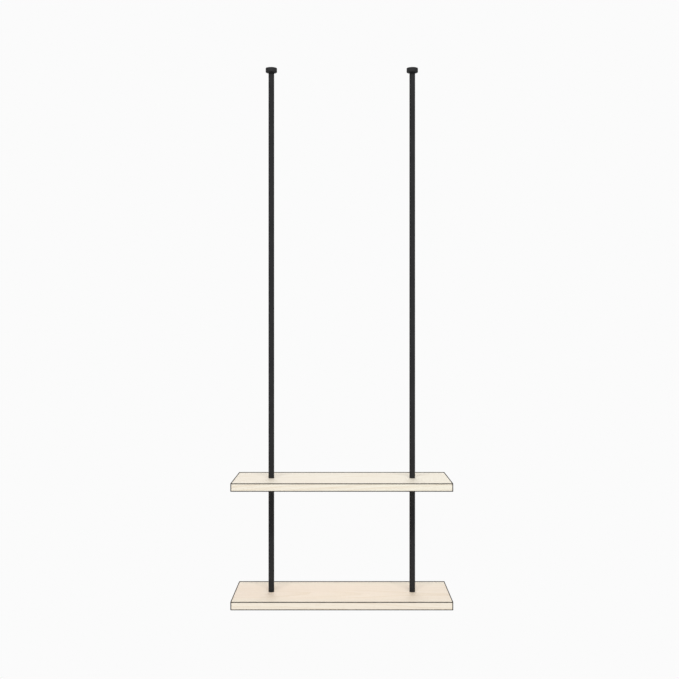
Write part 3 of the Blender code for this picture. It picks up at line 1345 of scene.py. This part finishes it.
@dataclass(frozen=True)
class Lamp:
    """A broad soft lamp that faces the boards."""

    name: str
    place: Triple
    size: Pair
    watts: float
    aim: Triple = (0.0, 0.0, -1.2)

    def build(self) -> None:
        """Hangs the lamp: tilted up from straight down, then turned about Z, until it faces its aim."""
        light = bpy.data.lights.new(self.name, "AREA")
        light.shape = "RECTANGLE"
        light.size, light.size_y = self.size
        light.energy = self.watts
        lamp = bpy.data.objects.new(self.name, light)
        x, y, z = np.array(self.aim) - np.array(self.place)
        lamp.location = self.place
        lamp.rotation_euler = (math.atan2(math.hypot(x, y), -z), 0.0, math.atan2(-x, y))
        lamp.visible_camera = False
        bpy.context.scene.collection.objects.link(lamp)


@dataclass(frozen=True)
class Studio:
    """Camera, lights, pale floor and near-white surroundings.

    Attributes:
        ambient: Light that the surroundings give, where those that the eye sees have 1.
        focal_pixels: Distance of the picture's plane, in its own pixels.
        horizon_offset: How far, in pixels, the picture is moved to the right and down.
        floor_glow: How much of the floor near the object is the surroundings' own tone.
        floor_fade: Shares of the floor's radius between which that grows to 1.
    """

    backdrop: Colour = screen(251, 251, 251)
    ambient: float = 0.32
    camera_place: Triple = (0.0, -3.0355, -0.768)
    focal_pixels: float = 1077.5
    sensor: float = 36.0
    horizon_offset: Pair = (2.30, 1.46)
    lamps: tuple[Lamp, ...] = (
        Lamp("key_light", (0.0, -6.7, 6.25), (7.0, 1.6), 720.0),
        Lamp("front_light", (0.0, -4.4, -2.6), (3.0, 1.6), 44.0),
        Lamp("back_light", (0.0, 3.6, 2.2), (2.6, 1.8), 60.0),
    )
    floor_height: float = -3.8
    floor_radius: float = 4.6
    floor_rings: int = 24
    floor_sides: int = 96
    floor_tone: Colour = screen(246, 246, 245)
    floor_roughness: float = 0.9
    floor_glow: float = 0.4
    floor_fade: Pair = (0.45, 0.95)

    def build(self) -> None:
        """Sets up the whole studio."""
        bpy.context.scene.view_settings.view_transform = "Standard"
        self.world()
        self.camera()
        for lamp in self.lamps:
            lamp.build()
        self.floor()

    def seen(self, tree: Tree) -> Wire:
        """Tells what the camera sees, straight or through gloss and glass, from plain light.

        Args:
            tree: The tree that asks.

        Returns:
            1 for what is seen, 0 for light.
        """
        kinds = ("Camera", "Glossy", "Transmission")
        straight, mirrored, through = (tree.node("LightPath", output=f"Is {kind} Ray") for kind in kinds)
        return (straight + mirrored + through).rise(0.0, 1.0)

    def world(self) -> None:
        """Near-white to the eye, and an even soft light for the object."""
        world = bpy.data.worlds.new("studio")
        world.use_nodes = True
        tree = Tree(world.node_tree)
        strength = self.ambient + (1.0 - self.ambient) * self.seen(tree)
        background = world.node_tree.nodes["Background"]
        tree.feed(background.inputs["Color"], opaque(self.backdrop))
        tree.feed(background.inputs["Strength"], strength)
        bpy.context.scene.world = world

    def camera(self) -> None:
        """A level camera straight in front, with the photograph's field of view and horizon."""
        lens = bpy.data.cameras.new("camera")
        lens.sensor_width = self.sensor
        lens.lens = self.focal_pixels / PHOTO_WIDTH * self.sensor
        lens.shift_x = -self.horizon_offset[0] / PHOTO_WIDTH
        lens.shift_y = self.horizon_offset[1] / PHOTO_WIDTH
        camera = bpy.data.objects.new("camera", lens)
        camera.location = self.camera_place
        camera.rotation_euler = (math.pi / 2, 0.0, 0.0)
        bpy.context.scene.collection.objects.link(camera)
        bpy.context.scene.camera = camera

    def floor(self) -> None:
        """A pale round floor far below, which takes the shadow and fades into the surroundings."""
        rings = np.linspace(0.0, self.floor_radius, self.floor_rings)[:, None]
        turn = full_turn(self.floor_sides)
        points = turned(rings, np.full_like(rings, self.floor_height), turn, np.zeros(2))
        mesh = bpy.data.meshes.new("floor")
        mesh.from_pydata(points.reshape(-1, 3), [], laid(points).quads())
        weld(mesh)
        coat = Coat("pale_floor")
        place = coat.place()
        off = coat.part(place, "X").hypot(coat.part(place, "Y"))
        far = off.rise(*(share * self.floor_radius for share in self.floor_fade))
        shown = (self.floor_glow + (1.0 - self.floor_glow) * far) * self.seen(coat)
        coat.set(Base_Color=self.floor_tone, Roughness=self.floor_roughness, Specular_IOR_Level=0.0)
        glow = coat.node("Emission", sockets={"Color": opaque(self.backdrop), "Strength": 1.0})
        lit = Wire(coat, coat.surface.outputs[0])
        shader = coat.node("MixShader", sockets={0: shown, 1: lit, 2: glow})
        coat.feed(coat.nodes.nodes["Material Output"].inputs["Surface"], shader)
        mesh.materials.append(coat.material)
        floor = bpy.data.objects.new("floor", mesh)
        bpy.context.scene.collection.objects.link(floor)


def main() -> None:
    """Builds the studio, the finishes, the boards and the rods, in that order."""
    logging.basicConfig(level=logging.INFO, format="%(name)s: %(message)s")
    Studio().build()
    rods = tuple(float(Solid.of(f"{side.value}_upper_tube").axis[0]) for side in Side)
    finishes = Finishes.mixed(rods)
    for level in Level:
        Board(level, finishes, rods).build()
    for side in Side:
        Rod(side, finishes).build()


if __name__ == "__main__":
    main()
